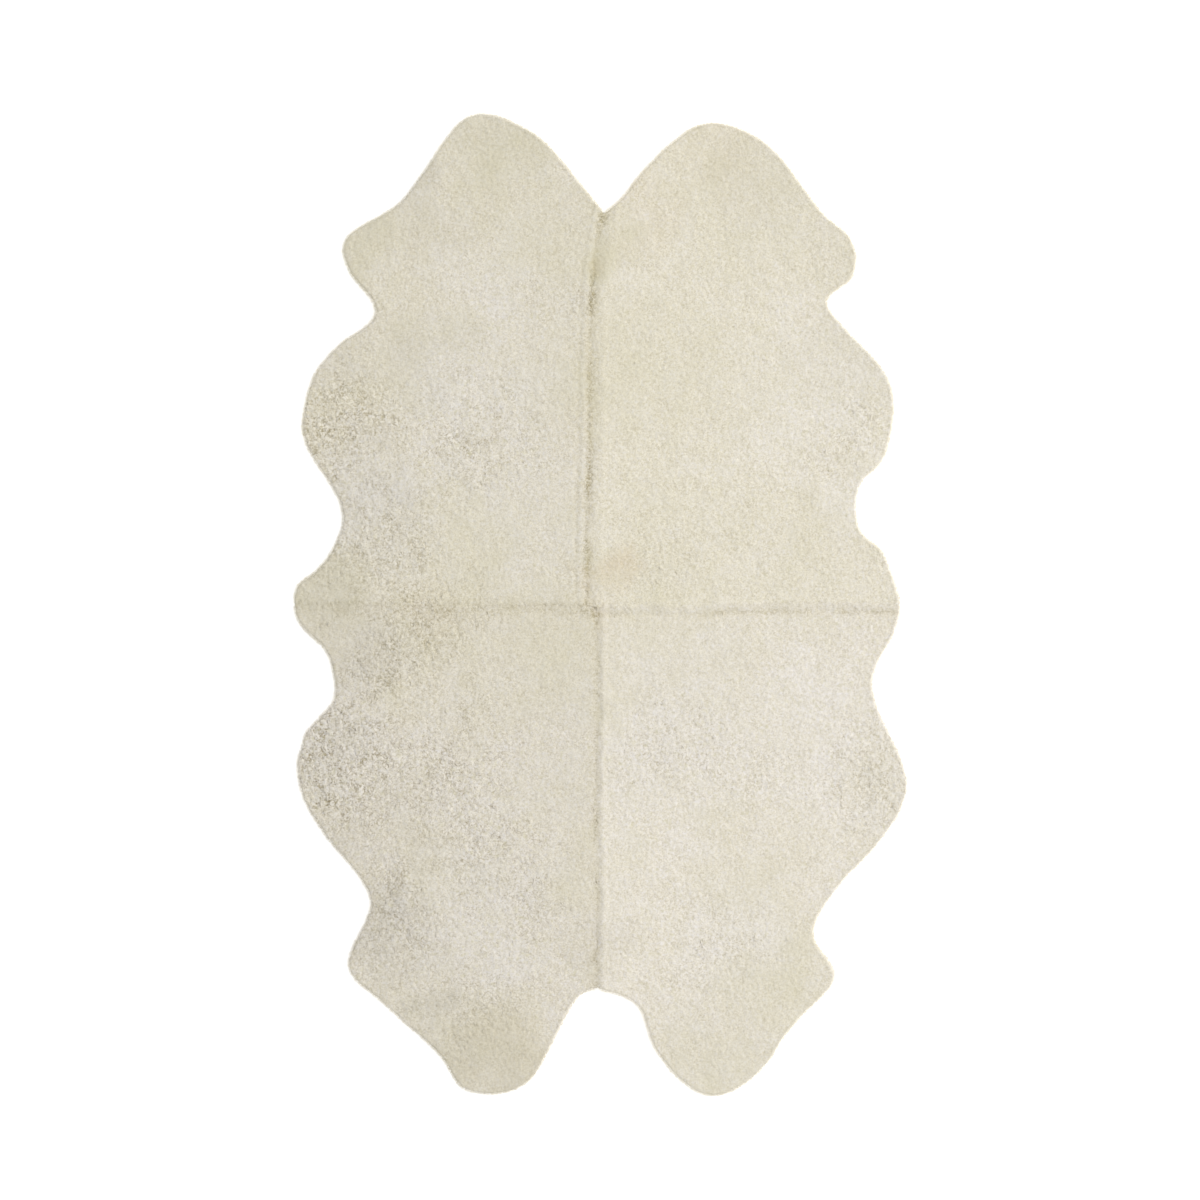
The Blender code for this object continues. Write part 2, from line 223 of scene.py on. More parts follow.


# Curls of fine crimped fibre, with painted shade, darker and yellower, down between them. Scales are waves
# in a metre.
def woolMaterial(name, colours):
    look = woolLook
    material, tree, shader = newMaterial(name, 0.95, 0.15, look["sheen"])
    shader.inputs["Sheen Roughness"].default_value = 0.5
    place = addNode(tree, "ShaderNodeAttribute", attribute_name="restAt")["Vector"]
    read = {}
    for label in ("rise", "olive", "rust", "cool", "shade", "curly", "onLock", "seamDark", "rimPale"):
        read[label] = addNode(tree, "ShaderNodeAttribute", attribute_name=label)["Fac"]
    off = minus(1.0, read["onLock"])
    cluster = noiseAt(place, 34.0, 2.0, shift=(5.0, 2.0, 8.0))
    cluster = ramp(cluster, 0.40, 0.60, 0.25, 1.0)
    curliness = times(times(cluster, off), read["curly"])
    # crimps run along the contour lines of two smooth noises, with lines of painted shade between them
    choice = noiseAt(place, 60.0, shift=(1.0, 5.0, 2.0))
    flow = []
    for scale, turns, shift in look["crimps"]:
        smooth = noiseAt(place, scale, shift=(shift, shift, shift))
        flow.append(sums("SINE", times(smooth, turns)))
    inputs = {0: ramp(choice, 0.45, 0.55), 2: flow[0], 3: flow[1]}
    crimp = addNode(tree, "ShaderNodeMix", inputs, data_type="FLOAT")[0]
    paintedCrimpShadow = ramp(crimp, -0.95, -0.35, 1.0, 0.0)
    # crevices between the curls, the same ones that the mesh has, darkened as painted shade; the same lines
    # also dip the bump
    wide = creviceAt(place, 1 / curlSizes["Curl Width"], curlBend, 0.0)
    wide = ramp(wide, 0.0, 0.12, 1.0, 0.0)
    fine = creviceAt(place, 1 / curlSizes["Twist Width"], twistBend, twistShift)
    fine = ramp(fine, 0.0, 0.14, 1.0, 0.0)
    broken = noiseAt(place, 120.0, shift=(6.0, 1.0, 9.0))
    broken = ramp(broken, 0.40, 0.56, 0.1, 1.0)
    wide = sums("MAXIMUM", times(wide, 1.25), times(fine, 0.75))
    lines = sums("MAXIMUM", times(wide, broken), times(paintedCrimpShadow, 0.85))
    lines = times(lines, curliness)
    # nap: short fine fibre all over, rougher where the wool is curly
    nap = minus(noiseAt(place, 340.0, 2.0, 0.75), 0.5)
    scale, turns = look["strands"]
    strand = sums("SINE", times(noiseAt(place, scale, 2.0), turns))
    strand = times(strand, timesPlus(read["onLock"], 0.10, 0.08))
    rough = timesPlus(read["curly"], 1.3, 1.3)
    fibre = timesPlus(nap, rough, strand)
    # depth: painted shade, low in the crevices and along the seams, high on the tips
    depth = timesPlus(read["rise"], 0.35, 0.50)
    depth = sums("ADD", depth, fibre)
    depth = timesPlus(times(nap, read["curly"]), 1.2, depth)
    # painted highlight on the crimp crests, painted shade beside them
    depth = timesPlus(times(crimp, curliness), 0.22, depth)
    depth = minus(depth, lines)
    depth = timesPlus(curliness, 0.16, depth)  # curly wool is no darker as a whole
    streaks = noiseAt(place, 75.0, 2.0, 0.6, shift=(7.0, 3.0, 1.0))
    streaks = ramp(streaks, 0.40, 0.62, 0.35, 1.0)
    # painted shade along the seams, broken into streaks
    depth = minus(depth, times(read["seamDark"], streaks))
    # painted light near the free edge
    depth = sums("ADD", depth, read["rimPale"])
    # the crevice colour is painted shade, mixed in where the depth is low
    wool = mixed(ramp(depth, -0.25, 1.25), colours["deepShade"], colours["curl"])
    # cooler wool with painted bluish highlight on the curl tips, greener wool, painted shade and rustier
    # patches
    patches = noiseAt(place, 27.0, 2.0, 0.6, shift=(2.0, 6.0, 1.0))
    # fine bluish speckle: painted highlight
    paintedSpecks = noiseAt(place, 190.0, shift=(8.0, 1.0, 4.0))
    cool = ramp(patches, 0.45, 0.70, 0.0, 0.26)
    cool = sums("ADD", cool, ramp(paintedSpecks, 0.5, 0.75, 0.0, 0.7))
    cool = sums("ADD", cool, read["cool"])
    # painted highlight: the bluish tint shows only where the painted depth is high, on the tips
    cool = times(cool, ramp(depth, 0.05, 0.60))
    wool = mixed(cool, wool, colours["cool"])
    patches = noiseAt(place, 16.0, 3.0, 0.6)
    # fine olive speckle: painted shade; the patches and spots are greener wool
    paintedSpecks = noiseAt(place, 130.0, 2.0, shift=(4.0, 9.0, 3.0))
    olive = sums("ADD", ramp(patches, 0.46, 0.72, 0.0, 0.18), read["olive"])
    olive = sums("MAXIMUM", olive, ramp(paintedSpecks, 0.54, 0.75, 0.0, 0.55))
    # the painted seam shade is also tinted greener here, and rustier below
    olive = timesPlus(read["seamDark"], 0.3, olive)
    wool = mixed(olive, wool, look["olive"])
    # painted shade from the spots: a neutral darkening
    wool = mixed(read["shade"], wool, look["shade"])
    rust = timesPlus(read["seamDark"], 0.05, read["rust"])
    wool = mixed(rust, wool, look["rust"])
    tree.links.new(wool, shader.inputs["Base Color"])
    raised = minus(fibre, lines)
    raised = times(raised, timesPlus(off, 0.75, 0.25))  # locks stay smoother
    addBump(tree, shader, raised, 0.9, look["bumpDepth"])
    return material


suedeLook = {
    "light": (0.690, 0.585, 0.455),
    "dark": (0.560, 0.450, 0.325),
    "vein": (0.430, 0.330, 0.225),
    "sheen": 0.15,
    "bumpDepth": 0.4 * mm,
}


def suedeMaterial(name, look):  # the flesh side of a tanned skin: short nap, soft blotches, faint veins
    material, tree, shader = newMaterial(name, 0.92, 0.2, look["sheen"])
    place = addNode(tree, "ShaderNodeTexCoord")["Object"]
    blotch = ramp(noiseAt(place, 7.0, 4.0, 0.55), 0.35, 0.70)
    nap = noiseAt(place, 620.0, 3.0, 0.7)
    branch = minus(noiseAt(place, 11.0, 2.0), 0.5)
    vein = ramp(sums("ABSOLUTE", branch), 0.0, 0.010, 1.0, 0.0)
    broken = noiseAt(place, 5.0, shift=(3.0, 1.0, 2.0))
    vein = times(vein, ramp(broken, 0.52, 0.66, 0.0, 0.16))
    leather = mixed(blotch, look["light"], look["dark"])
    leather = mixed(vein, leather, look["vein"])
    leather = mixed(ramp(nap, 0.3, 0.7, 0.0, 0.22), leather, look["dark"])
    tree.links.new(leather, shader.inputs["Base Color"])
    addBump(tree, shader, nap, 0.6, look["bumpDepth"])
    return material


threadLook = {"light": (0.70, 0.66, 0.56), "dark": (0.48, 0.44, 0.35), "bumpDepth": 0.15 * mm}


def threadMaterial(name, look):  # waxed two-ply sewing thread
    material, tree, shader = newMaterial(name, 0.6, 0.5)
    place = addNode(tree, "ShaderNodeTexCoord")["Object"]
    inputs = {"Vector": place, "Scale": 260.0, "Distortion": 3.0}
    ply = addNode(tree, "ShaderNodeTexWave", inputs)[1]
    tree.links.new(mixed(ply, look["dark"], look["light"]), shader.inputs["Base Color"])
    addBump(tree, shader, ply, 0.5, look["bumpDepth"])
    return material


outlineSizes = {
    "undercut": 7.0 * mm,  # how far the hide's edge lies in from the wool's
    "step": 2.6 * mm,
    "fineStep": 0.5 * mm,  # of the lines that distances are measured to
    "flat": 0.01 * mm,
    "upright": 0.05 * mm,  # at a seam the side stands straight up
    "easing": 6,  # rounds of smoothing for the free edge
    "sway": 3.2 * mm,  # the wool's parting wanders this far from the sewn line
    "swayWidth": 26.0 * mm,
    "lap": 2.2 * mm,  # and reaches this far over it, into the wool of the next pelt
    "held": 25.0 * mm,  # but not near its two ends
    "slide": 20.0 * mm,  # over which a seam's drawn-in end eases out
}


# The flat underside's edge, anticlockwise from above: place, is it on a seam, and what stands over it.
def baseLoop(node):
    welded = bmesh.new()
    welded.from_mesh(node.data)
    bmesh.ops.remove_doubles(welded, verts=welded.verts, dist=outlineSizes["flat"])
    low = {vert for vert in welded.verts if vert.co.z < outlineSizes["flat"]}
    isFlat = {face: all(vert in low for vert in face.verts) for face in welded.faces}
    following = {}
    for edge in welded.edges:
        flatFaces = [face for face in edge.link_faces if isFlat[face]]
        if len(flatFaces) == 1:
            for loop in flatFaces[0].loops:
                if loop.edge == edge:  # the flat faces point down, so their corners run clockwise
                    following[loop.link_loop_next.vert] = loop.vert
    start = next(iter(following))
    walk = [start]
    while following[walk[-1]] != start:
        walk.append(following[walk[-1]])
    corners = []
    for vert in walk:
        above = [edge.other_vert(vert) for edge in vert.link_edges if edge.other_vert(vert) not in low]
        nearest = min(above, key=lambda other: (other.co.xy - vert.co.xy).length)
        onSeam = (nearest.co.xy - vert.co.xy).length < outlineSizes["upright"]
        corners.append((vert.co.xy.copy(), onSeam, nearest.co.xy.copy()))
    welded.free()
    return corners


def growing(away, reach):  # 0 at no distance, 1 from the reach on
    return np.clip(away / reach, 0.0, 1.0)


def fading(away, reach):  # 1 at no distance, 0 from the reach on
    return np.clip(1.0 - away / reach, 0.0, 1.0)


def lengthsOf(line):  # length of the line up to each of its points
    return np.concatenate([[0.0], np.cumsum(np.linalg.norm(np.diff(line, axis=0), axis=1))])


def placesAt(line, along, at):
    return np.stack([np.interp(at, along, line[:, 0]), np.interp(at, along, line[:, 1])], 1)


# The line, or one that runs beside it point by point, in equal steps of the line.
def spaced(line, step, beside=None):
    line = np.array(line, float)
    along = lengthsOf(line)
    at = np.linspace(0.0, along[-1], max(2, round(along[-1] / step) + 1))
    return placesAt(line if beside is None else np.array(beside, float), along, at)


def spacedLegs(line, step):  # a seam with one square corner, which stays where it is
    run = np.diff(np.array(line, float), axis=0)
    run /= np.linalg.norm(run, axis=1)[:, None]
    corner = int(np.argmin((run[1:] * run[:-1]).sum(1))) + 1
    return np.concatenate([spaced(line[:corner + 1], step), spaced(line[corner:], step)[1:]])


def smoothed(line, rounds):  # the line with its small corners eased, its two ends held
    for turn in range(rounds):
        line = line.copy()
        line[1:-1] = (line[:-2] + 2 * line[1:-1] + line[2:]) / 4
    return line


def outwardOf(line):  # unit vectors to the right of a line that has the pelt on its left
    run = np.gradient(line, axis=0)
    run /= np.linalg.norm(run, axis=1)[:, None]
    return np.stack([run[:, 1], -run[:, 0]], 1)


def isMiddle(seam):  # true on the seam down the middle, false on the cross seam
    out = outwardOf(seam)
    return np.abs(out[:, 0]) > np.abs(out[:, 1])


def swayed(line):  # the parting of the wool over a sewn line. Both sides of a seam sway alike
    size = outlineSizes
    along = lengthsOf(line)
    held = growing(np.minimum(along, along[-1] - along), size["held"])
    moved = line + size["lap"] * held[:, None] * outwardOf(line)
    for i, (x, y) in enumerate(line.tolist()):
        sway = noise.noise_vector(Vector((x / size["swayWidth"], y / size["swayWidth"], 3.0)))
        moved[i] += size["sway"] * held[i] * np.array(sway.xy)
    return moved


def slidSeam(seam, inset):  # the seam with its two ends drawn in by the inset
    along = lengthsOf(seam)
    at = along + inset * fading(along, outlineSizes["slide"])
    at -= inset * fading(along[-1] - along, outlineSizes["slide"])
    return placesAt(seam, along, at)


# The free edge, the hide's edge beside it and the sewn edge, end to end, the pelt on their left.
def outlineOf(node):
    size = outlineSizes
    corners = baseLoop(node)
    first = next(i for i in range(len(corners)) if corners[i - 1][1] and not corners[i][1])
    corners = corners[first:] + corners[:first]
    free = [corner for corner in corners if not corner[1]]
    sewn = [corner[0] for corner in corners if corner[1]]
    inset = np.array([corner[0] for corner in free])
    rim = inset + size["undercut"] * outwardOf(inset)
    rim[0] = free[0][2]
    rim[-1] = free[-1][2]
    hideEdge = smoothed(spaced(rim, size["step"], inset), size["easing"])
    rim = smoothed(spaced(rim, size["step"]), size["easing"])
    seam = np.array([rim[-1], *sewn, rim[0]])
    return rim, hideEdge, spacedLegs(seam, size["step"])


def distanceTo(line, points):  # plan distance of each point from the line
    dense = spaced(line, outlineSizes["fineStep"])
    tree = kdtree.KDTree(len(dense))
    for i, (x, y) in enumerate(dense.tolist()):
        tree.insert((x, y, 0.0), i)
    tree.balance()
    return np.array([tree.find((x, y, 0.0))[2] for x, y in points.tolist()])


def insideOf(loop, points):  # true for the points inside the closed loop
    result = np.zeros(len(points), bool)
    x, y = points.T
    for start, end in zip(loop, np.roll(loop, -1, axis=0)):
        if start[1] != end[1]:
            crosses = (start[1] > y) != (end[1] > y)
            result ^= crosses & (x < start[0] + (y - start[1]) / (end[1] - start[1]) * (end[0] - start[0]))
    return result


# Staggered rows of points over the inside of the loop, each moved a little.
def hexField(loop, pitch, jitter, dice):
    low = loop.min(0)
    high = loop.max(0)
    rows = np.arange(low[1], high[1], pitch * 0.866)  # the height of an equal-sided triangle
    x, y = np.meshgrid(np.arange(low[0], high[0], pitch), rows)
    x = x + (np.arange(len(rows)) % 2)[:, None] * pitch / 2
    field = np.stack([x.ravel(), y.ravel()], 1)
    field = field + dice.uniform(-jitter, jitter, field.shape) * pitch
    return field[insideOf(loop, field)]


def filled(loop, field):  # triangles over the loop through all the points, numbered loop first
    corners = [Vector(point) for point in np.concatenate([loop, field])]
    made = geometry.delaunay_2d_cdt(corners, [], [list(range(len(loop)))], 1, 1e-7)
    if len(made[0]) != len(corners):
        raise ValueError("two points of an outline coincide or cross")
    return [tuple(face) for face in made[2]]


# The bake's map: a flat place for each point. Corners past the shown ones share a small patch.
def bakeMap(mesh, places, like, margin, shown=None):
    low = like.min(0) - margin
    span = (like.max(0) - low).max() + margin
    corner = np.zeros(len(mesh.loops), np.int32)
    mesh.loops.foreach_get("vertex_index", corner)
    uv = ((places - low) / span)[corner]
    if shown:
        uv[shown:] = 0.97 + 0.025 * uv[shown:]
    mesh.uv_layers.new(name="OFBake").data.foreach_set("uv", uv.astype(np.float32).ravel())


outlines = {name: outlineOf(frame["nodes"]["pelt_" + name]) for name in pelts}
for name, (rim, hideEdge, seam) in outlines.items():
    print("outline", name, len(rim), "points free,", len(seam), "sewn")


fleeceSizes = {
    "step": 3.0 * mm,  # between the points that carry the curls
    "jitter": 0.16,
    "top": 25.5 * mm,  # wool and hide together
    "widest": 9.0 * mm,  # height at which the rim bulges furthest
    "rounding": 3.2 * mm,
    "squareness": 3.0,  # 2 rounds the rim like a pipe, more keeps the top flat further out
    "rimInset": 1.0 * mm,  # the fuzz stands out from here
    "rimLean": 0.8,  # how far the rim's points are pushed outward, not up
    "rings": (0.45 * mm, 1.2 * mm, 2.5 * mm, 4.8 * mm),  # rows just inside the rim
    "under": ((1.2 * mm, 5.4 * mm), (3.4 * mm, 3.2 * mm), (6.9 * mm, 1.9 * mm)),  # and below: inset, height
    "underStep": 40.0 * mm,
    "mapRow": 3.0 * mm,  # between those rows in the bake's map
    "deepest": -3.4 * mm,  # no pit where the seams meet
    "crossing": 30.0 * mm,  # and less painted shade this near to it
    "offSeam": 12.0 * mm,  # rim tufts and hairs start here
    "seamTufts": 5.0 * mm,
    "seamWall": 4.0 * mm,  # below the top, painted shade this near to a seam
    "rimTufts": 4.0 * mm,
    # painted light near the free edge, against the shade of its rounded rim: how far in it reaches, and how
    # strong
    "rimPale": 5.0 * mm,
    "paintedRimLightness": 0.24,
    "bound": (2.0 * mm, 6.0 * mm),  # held below this height, loose that far above it
}

# Soft round spots: across and along from the rug's middle, radius, in mm, and strength in percent.
# Curlier wool.
curlSpots = (
    (-500, 330, 210, 78), (-440, 100, 210, 70), (-500, -290, 240, 92), (-220, -450, 220, 56),
    (-300, -300, 300, 58), (-380, -560, 200, 72), (-130, -560, 220, 42), (-240, -760, 200, 52),
    (-330, -30, 190, 66), (-420, -110, 150, 70), (480, 330, 190, 46), (500, -330, 210, 56),
    (300, -330, 260, 38), (120, -250, 250, 48), (200, -620, 220, 45), (-80, 560, 150, 34),
    (-250, 300, 260, 52), (100, 100, 300, 35),
)
curlLeast = 0.22

# Greener, yellower wool.
oliveSpots = (
    (-190, 850, 170, 44), (-430, 670, 120, 48), (-430, 400, 140, 27), (-340, 530, 110, 25),
    (-110, 700, 150, 32), (0, 660, 90, 55), (-260, 60, 190, 32), (-110, -70, 200, 40),
    (-240, -170, 120, 26), (-340, -70, 150, 30), (-500, 30, 120, 42), (-310, -480, 90, 30),
    (-210, -840, 150, 46), (-370, -720, 100, 16), (-30, -500, 110, 28), (-40, -330, 110, 16),
    (-300, 700, 100, 20), (520, 450, 80, 12), (310, 800, 90, 34), (460, 690, 90, 16),
    (60, 460, 260, 32), (110, 80, 270, 25), (380, 80, 180, 20), (220, 740, 230, 28),
    (110, -90, 120, 16), (260, -80, 110, 20), (510, -340, 90, 18), (260, -510, 150, 22),
    (330, -700, 140, 48), (200, -860, 130, 38),
)

# Cooler, whiter wool, with painted bluish highlight: it shows only on the curl tips.
coolAndHighlightSpots = (
    (-240, 380, 210, 25), (-200, 590, 150, 20), (-430, 180, 140, 28), (-150, 180, 150, 20),
    (-470, -250, 150, 24), (-240, -290, 200, 12), (-230, -560, 210, 22), (110, -230, 260, 24),
    (430, -250, 220, 25), (410, 400, 220, 20), (490, 190, 90, 40), (230, -590, 130, 30),
)

# Painted shade, mostly toward the left, the side away from the light, with some darker wool.
paintedShadeSpots = (
    (-318, 762, 55, 40), (-430, 680, 110, 18), (-180, 870, 130, 12), (-337, 716, 110, 20),
    (-330, 480, 120, 20), (-490, 460, 80, 20), (-450, 190, 140, 20), (-510, 10, 120, 27),
    (-490, -80, 120, 30), (-490, -250, 150, 14), (-370, -410, 130, 16), (-490, -450, 100, 26),
    (-400, -600, 140, 34), (-300, -640, 110, 14), (-230, -560, 200, 3), (-318, -746, 50, 40),
    (-240, -850, 140, 26), (-330, -800, 90, 18), (-5, -630, 70, 16), (110, -230, 240, 6),
    (190, -800, 150, 9), (450, 470, 130, 10), (280, 800, 130, 12), (430, 670, 100, 10),
    (0, 650, 80, 6),
)

# Faint rusty stains.
rustSpots = (
    (16, 62, 50, 24), (0, -12, 35, 10), (70, 710, 80, 8), (220, 830, 130, 6),
    (-320, -10, 70, 4), (-190, -840, 110, 6), (-8, 650, 30, 12),
)


def wandering(points):  # the points moved about, so that the round spots come out uneven
    moved = points
    for waves, shift, reach in ((9.0, 7.0, 60.0), (28.0, 4.0, 22.0)):
        away = [noise.noise_vector(Vector((x * waves, y * waves, shift))).xy for x, y in points.tolist()]
        moved = moved + np.array(away) * reach * mm
    return moved


def spotField(points, spots):  # the strongest of the soft round spots at each point
    field = np.zeros(len(points))
    for across, along, radius, strength in spots:
        away = np.hypot(points[:, 0] - across / 1000, points[:, 1] - along / 1000)
        field = np.maximum(field, strength / 100 * fading(away, radius / 1000) ** 0.8)
    return field


# Dips and ridges of the wool along the seams: seam, distance, half width and height in mm, darkness:
# painted shade, and painted light where it is below zero.
seamBands = {
    "upper_left": (
        ("middle", 0.0, 8.5, -2.4, 0.41),
        ("middle", 14.0, 5.0, 0.5, -0.03),
        ("middle", 22.0, 4.0, -0.8, 0.10),
        ("across", 0.0, 5.0, -1.1, 0.10),
        ("across", 9.0, 9.0, 0.6, 0.08),
    ),
    "upper_right": (
        ("middle", 0.0, 12.0, -2.9, 0.33),
        ("middle", 26.0, 8.0, 0.8, 0.0),
        ("across", 4.0, 7.0, 1.8, -0.05),
    ),
    "lower_left": (
        ("middle", 0.0, 14.0, -2.6, 0.28),
        ("across", 0.0, 5.0, -0.6, 0.20),
        ("across", 13.0, 12.0, -1.2, 0.18),
    ),
    "lower_right": (
        ("middle", 0.0, 6.0, -2.4, 0.22),
        ("middle", 12.0, 6.0, 1.2, -0.03),
        ("across", 2.0, 6.0, 1.8, -0.05),
        ("across", 18.0, 6.0, -2.2, 0.26),
    ),
}


def seamShape(name, points, seam):  # height and painted shade that the seams give to each point
    middle = isMiddle(seam)
    away = {"middle": distanceTo(seam[middle], points), "across": distanceTo(seam[~middle], points)}
    raised = np.zeros(len(points))
    dark = np.zeros(len(points))
    for line, centre, width, height, darkness in seamBands[name]:
        share = np.exp(-(((away[line] - centre * mm) / (width * mm)) ** 2))
        raised += height * mm * share
        dark += darkness * share
    patchy = np.array([noise.noise(Vector((x * 16.0, y * 16.0, 2.0))) for x, y in points.tolist()])
    fromCrossing = np.clip(np.hypot(*points.T) / fleeceSizes["crossing"], 0.35, 1.0)
    return np.maximum(raised, fleeceSizes["deepest"]), dark * (1.0 + 0.9 * patchy) * fromCrossing


def woolHeight(fromRim, raised):  # height of the shorn wool from its distance to the free edge
    size = fleeceSizes
    power = size["squareness"]
    rounded = (1.0 - fading(fromRim, size["rounding"]) ** power) ** (1 / power)
    return size["widest"] + (size["top"] + raised - size["widest"]) * rounded


# The way each point is pushed out: square to the top, and outward below it.
def pushOf(verts, faces, topCount, outward, sideways):
    push = np.zeros((len(verts), 3))
    corners = np.array([face for face in faces if len(face) == 3 and max(face) < topCount])
    first = verts[corners[:, 0]]
    across = np.cross(verts[corners[:, 1]] - first, verts[corners[:, 2]] - first)
    for k in range(3):
        np.add.at(push, corners[:, k], across)
    push[topCount:topCount + len(sideways), :2] = sideways
    push /= np.maximum(np.linalg.norm(push, axis=1), 1e-12)[:, None]
    push[:len(outward)] += np.column_stack([outward, np.zeros(len(outward))]) * fleeceSizes["rimLean"]
    return push / np.maximum(np.linalg.norm(push, axis=1), 1e-12)[:, None]


# What the node groups and the material read: one number for each point.
def woolFields(verts, topCount, edge, seam, dark):
    size = fleeceSizes
    plan = verts[:, :2]
    isTop = np.arange(len(verts)) < topCount
    fromSeam = distanceTo(seam, plan)
    fromRim = distanceTo(edge, plan)
    patchy = wandering(plan)
    creased = np.zeros(len(verts))
    creased[:topCount] = np.clip(dark, 0.0, 1.0) * 1.6
    curly = np.maximum(curlLeast, spotField(patchy, curlSpots))
    free = np.clip(0.75 + fromSeam / size["offSeam"], 0.0, 1.0)
    offSeam = growing(fromSeam, size["offSeam"])
    low, reach = size["bound"]
    unbound = growing(verts[:, 2] - low, reach)
    # painted shade on the sides below the top, stronger near a seam
    paintedWallShade = np.where(fromSeam[topCount:] < size["seamWall"], 0.5, 0.1)
    return {
        "curly": np.maximum(curly, creased),
        "loose": np.where(isTop, free, free * unbound),
        "woolTop": np.where(isTop, 1.0, 0.0),
        "rimSide": np.where(fromRim < size["rimTufts"], 1.0, 0.0) * offSeam * unbound,
        "seamSide": np.exp(-((fromSeam / size["seamTufts"]) ** 2)) * isTop,
        "seamDark": np.concatenate([dark, paintedWallShade]),
        "rimPale": size["paintedRimLightness"] * fading(fromRim, size["rimPale"]) * offSeam,
        "olive": spotField(patchy, oliveSpots),
        "cool": spotField(patchy, coolAndHighlightSpots),
        "shade": spotField(patchy, paintedShadeSpots),
        "rust": spotField(patchy, rustSpots),
    }


def fleeceMesh(name, number):
    size = fleeceSizes
    dice = np.random.default_rng(500 + number)
    rim, hideEdge, seam = outlines[name]
    seam = swayed(seam)
    outward = outwardOf(rim)
    edge = rim - size["rimInset"] * outward
    edge[0], edge[-1] = rim[0], rim[-1]
    loop = np.concatenate([edge, seam[1:-1]])
    rings = []
    for inset in size["rings"]:
        ring = (edge - inset * outward)[1:-1]
        rings.append(ring[distanceTo(edge, ring) > 0.93 * inset])  # none where the rim folds back
    rings = np.concatenate(rings)
    rings = rings[distanceTo(seam, rings) > 0.5 * size["step"]]
    field = hexField(loop, size["step"], size["jitter"], dice)
    isClear = distanceTo(edge, field) > size["rings"][-1] + 0.6 * size["step"]
    isClear &= distanceTo(seam, field) > 0.55 * size["step"]
    top = np.concatenate([loop, rings, field[isClear]])
    faces = filled(loop, top[len(loop):])
    fromRim = distanceTo(edge, top)
    fromRim[:len(edge)] = 0.0
    raised, dark = seamShape(name, top, seam)
    height = woolHeight(fromRim, raised)
    verts = [np.column_stack([top, height])]
    flatMap = [top]  # the bake's map: seen from above, the sides unrolled outward
    away = np.concatenate([outward, outwardOf(seam)[1:-1]])
    # rows of points down the sides
    count = len(loop)
    lastRow = np.arange(count)
    total = len(top)
    rowCount = len(size["under"])
    for row, (inset, level) in enumerate(size["under"], 1):
        share = inset / size["under"][-1][0]
        low = edge * (1 - share) + hideEdge * share
        drawnIn = slidSeam(seam, inset)
        low[0], low[-1] = drawnIn[-1], drawnIn[0]
        ring = np.concatenate([low, drawnIn[1:-1]])
        wall = height[len(edge):count] * (1 - row / rowCount) + level * row / rowCount
        levels = np.concatenate([np.full(len(edge), level), wall])
        verts.append(np.column_stack([ring, levels]))
        flatMap.append(loop + away * row * size["mapRow"])
        thisRow = total + np.arange(count)
        for i in range(count):
            j = (i + 1) % count
            faces.append((lastRow[i], thisRow[i], thisRow[j], lastRow[j]))
        lastRow = thisRow
        total += count
    # the underside of the wool, which lies on the hide
    shown = sum(len(face) for face in faces)
    under = hexField(ring, size["underStep"], 0.1, dice)
    closed = np.concatenate([ring, ring[:1]])
    under = under[distanceTo(closed, under) > size["underStep"] / 3]
    for face in filled(ring, under):
        faces.append(tuple(lastRow[i] if i < count else total + i - count for i in face[::-1]))
    verts.append(np.column_stack([under, np.full(len(under), size["under"][-1][1])]))
    flatMap.append(under)
    verts = np.concatenate(verts)
    flatMap = np.concatenate(flatMap)
    mesh = bpy.data.meshes.new("fleece_" + name)
    mesh.from_pydata(verts.tolist(), [], [tuple(int(i) for i in face) for face in faces])
    mesh.shade_smooth()
    for label, value in woolFields(verts, len(top), edge, seam, dark).items():
        stored = mesh.attributes.new(label, "FLOAT", "POINT").data
        stored.foreach_set("value", value.astype(np.float32))
    push = pushOf(verts, faces, len(top), outward, np.tile(away, (rowCount, 1)))
    stored = mesh.attributes.new("push", "FLOAT_VECTOR", "POINT").data
    stored.foreach_set("vector", push.astype(np.float32).ravel())
    # the wool turns down sharply where it meets the next pelt
    sewnRow = np.zeros(len(verts), bool)
    sewnRow[len(edge) - 1:len(loop)] = True
    sewnRow[0] = True
    pairs = np.zeros(len(mesh.edges) * 2, np.int32)
    mesh.edges.foreach_get("vertices", pairs)
    sharp = sewnRow[pairs.reshape(-1, 2)].all(1)
    mesh.attributes.new("sharp_edge", "BOOLEAN", "EDGE").data.foreach_set("value", sharp)
    bakeMap(mesh, flatMap, flatMap, 1 * mm, shown)
    return mesh


